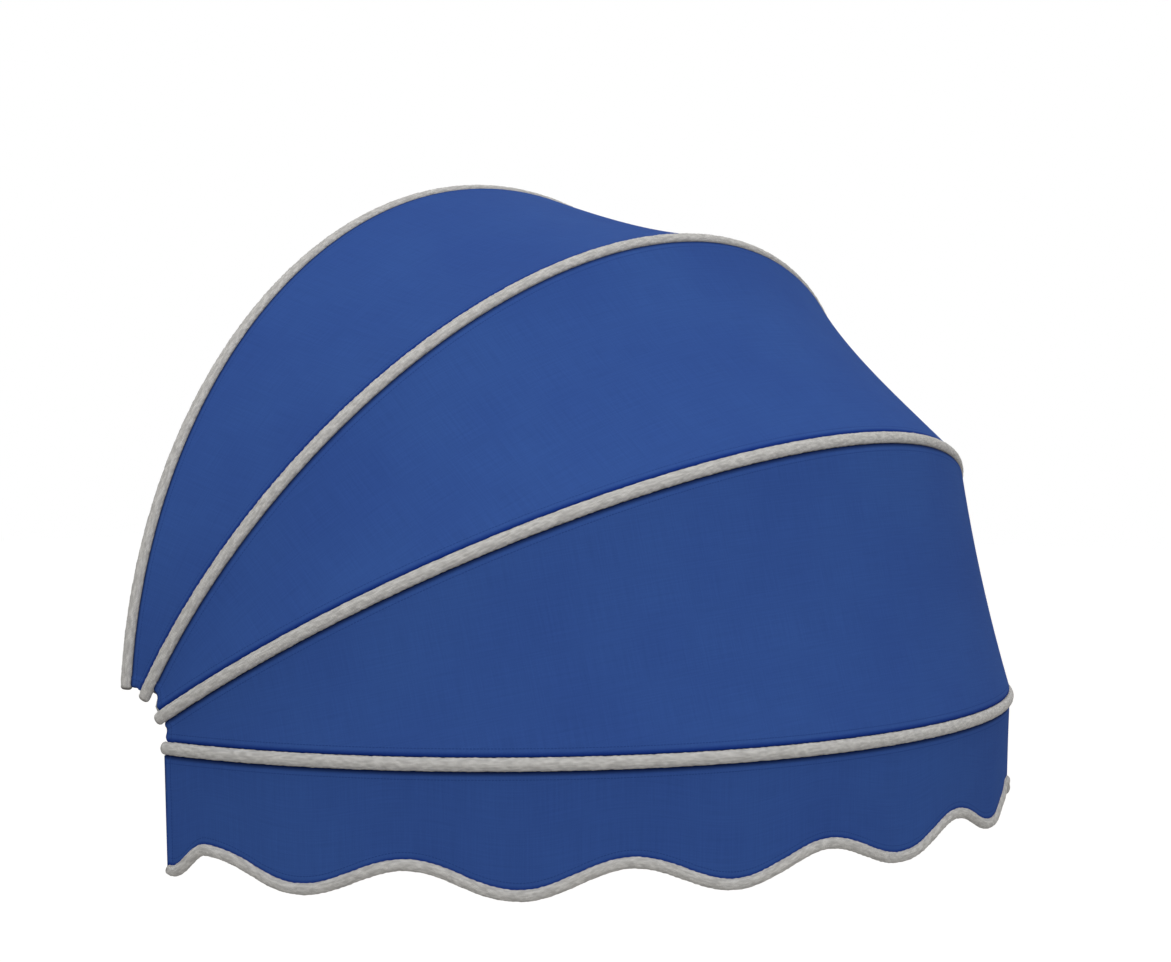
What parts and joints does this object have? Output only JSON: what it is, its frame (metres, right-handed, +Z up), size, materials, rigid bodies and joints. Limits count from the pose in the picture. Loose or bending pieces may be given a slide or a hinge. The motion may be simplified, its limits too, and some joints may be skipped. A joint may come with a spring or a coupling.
{
  "type": "window awning",
  "caption": "Folding hooped window awning: half-round tube bows fan out from hinges at both ends under blue canvas, with grey piping and a scalloped valance.",
  "frame": {"origin": "on the wall, at the middle of the back face of the clip at the top of the wall bow", "axes": "+X across the awning, +Y into the wall, the canopy stands out towards -Y, +Z up"},
  "size_m": [1.609, 0.8214, 0.9788],
  "materials": {
    "blue_canvas": "woven acrylic canvas, matte",
    "grey_braid": "braided trim, matte",
    "mill_aluminium": "satin tube",
    "cast_fitting": "cast, tumbled",
    "zinc_steel": "zinc plated",
    "white_nylon": "moulded nylon"
  },
  "bodies": {
    "wall_frame": {"wall_bow": "mill_aluminium", "wall_piping": "grey_braid", "hinge_bracket_left": "cast_fitting", "hinge_bracket_right": "cast_fitting", "pivot_bolt_left": "zinc_steel", "pivot_bolt_right": "zinc_steel", "pivot_nut_left": "zinc_steel", "pivot_nut_right": "zinc_steel", "outer_washer_left": "white_nylon", "outer_washer_right": "white_nylon", "middle_washer_left": "white_nylon", "middle_washer_right": "white_nylon", "inner_washer_left": "white_nylon", "inner_washer_right": "white_nylon", "wall_clip_left": "cast_fitting", "wall_clip_top": "cast_fitting", "wall_clip_right": "cast_fitting", "pulley_bracket": "cast_fitting", "pulley_axle": "zinc_steel", "canopy_panel_upper": "blue_canvas"},
    "upper_bow_set": {"upper_bow": "mill_aluminium", "upper_piping": "grey_braid", "upper_hinge_arm_left": "cast_fitting", "upper_hinge_arm_right": "cast_fitting", "upper_cord_eye": "white_nylon", "canopy_panel_middle": "blue_canvas"},
    "middle_bow_set": {"middle_bow": "mill_aluminium", "middle_piping": "grey_braid", "middle_hinge_arm_left": "cast_fitting", "middle_hinge_arm_right": "cast_fitting", "middle_cord_eye": "white_nylon", "canopy_panel_lower": "blue_canvas"},
    "front_bow_set": {"front_bow": "mill_aluminium", "front_piping": "grey_braid", "front_hinge_arm_left": "cast_fitting", "front_hinge_arm_right": "cast_fitting", "front_cord_eye": "white_nylon", "valance": "blue_canvas", "valance_edging": "grey_braid"},
    "pulley": {"pulley_wheel": "white_nylon"}
  },
  "joints": [
    {"name": "canopy_fold", "type": "hinge", "parent": "wall_frame", "child": "upper_bow_set", "pos_m": [0, -0.0504, -0.71817], "axis": [-1, 0, 0], "range_deg": [0, 30], "deforming": ["canopy_panel_upper"]},
    {"name": "middle_fold", "type": "hinge", "parent": "upper_bow_set", "child": "middle_bow_set", "pos_m": [0, -0.0504, -0.71817], "axis": [-1, 0, 0], "range_deg": [0, 30], "deforming": ["canopy_panel_middle"]},
    {"name": "front_fold", "type": "hinge", "parent": "middle_bow_set", "child": "front_bow_set", "pos_m": [0, -0.0504, -0.71817], "axis": [-1, 0, 0], "range_deg": [0, 30], "deforming": ["canopy_panel_lower"]},
    {"name": "pulley_spin", "type": "hinge", "parent": "wall_frame", "child": "pulley", "pos_m": [0, -0.0201, -0.0576], "axis": [1, 0, 0], "continuous": true}
  ],
  "couplings": [
    {"joint": "middle_fold", "follows": "canopy_fold", "ratio": 1},
    {"joint": "front_fold", "follows": "canopy_fold", "ratio": 1}
  ]
}
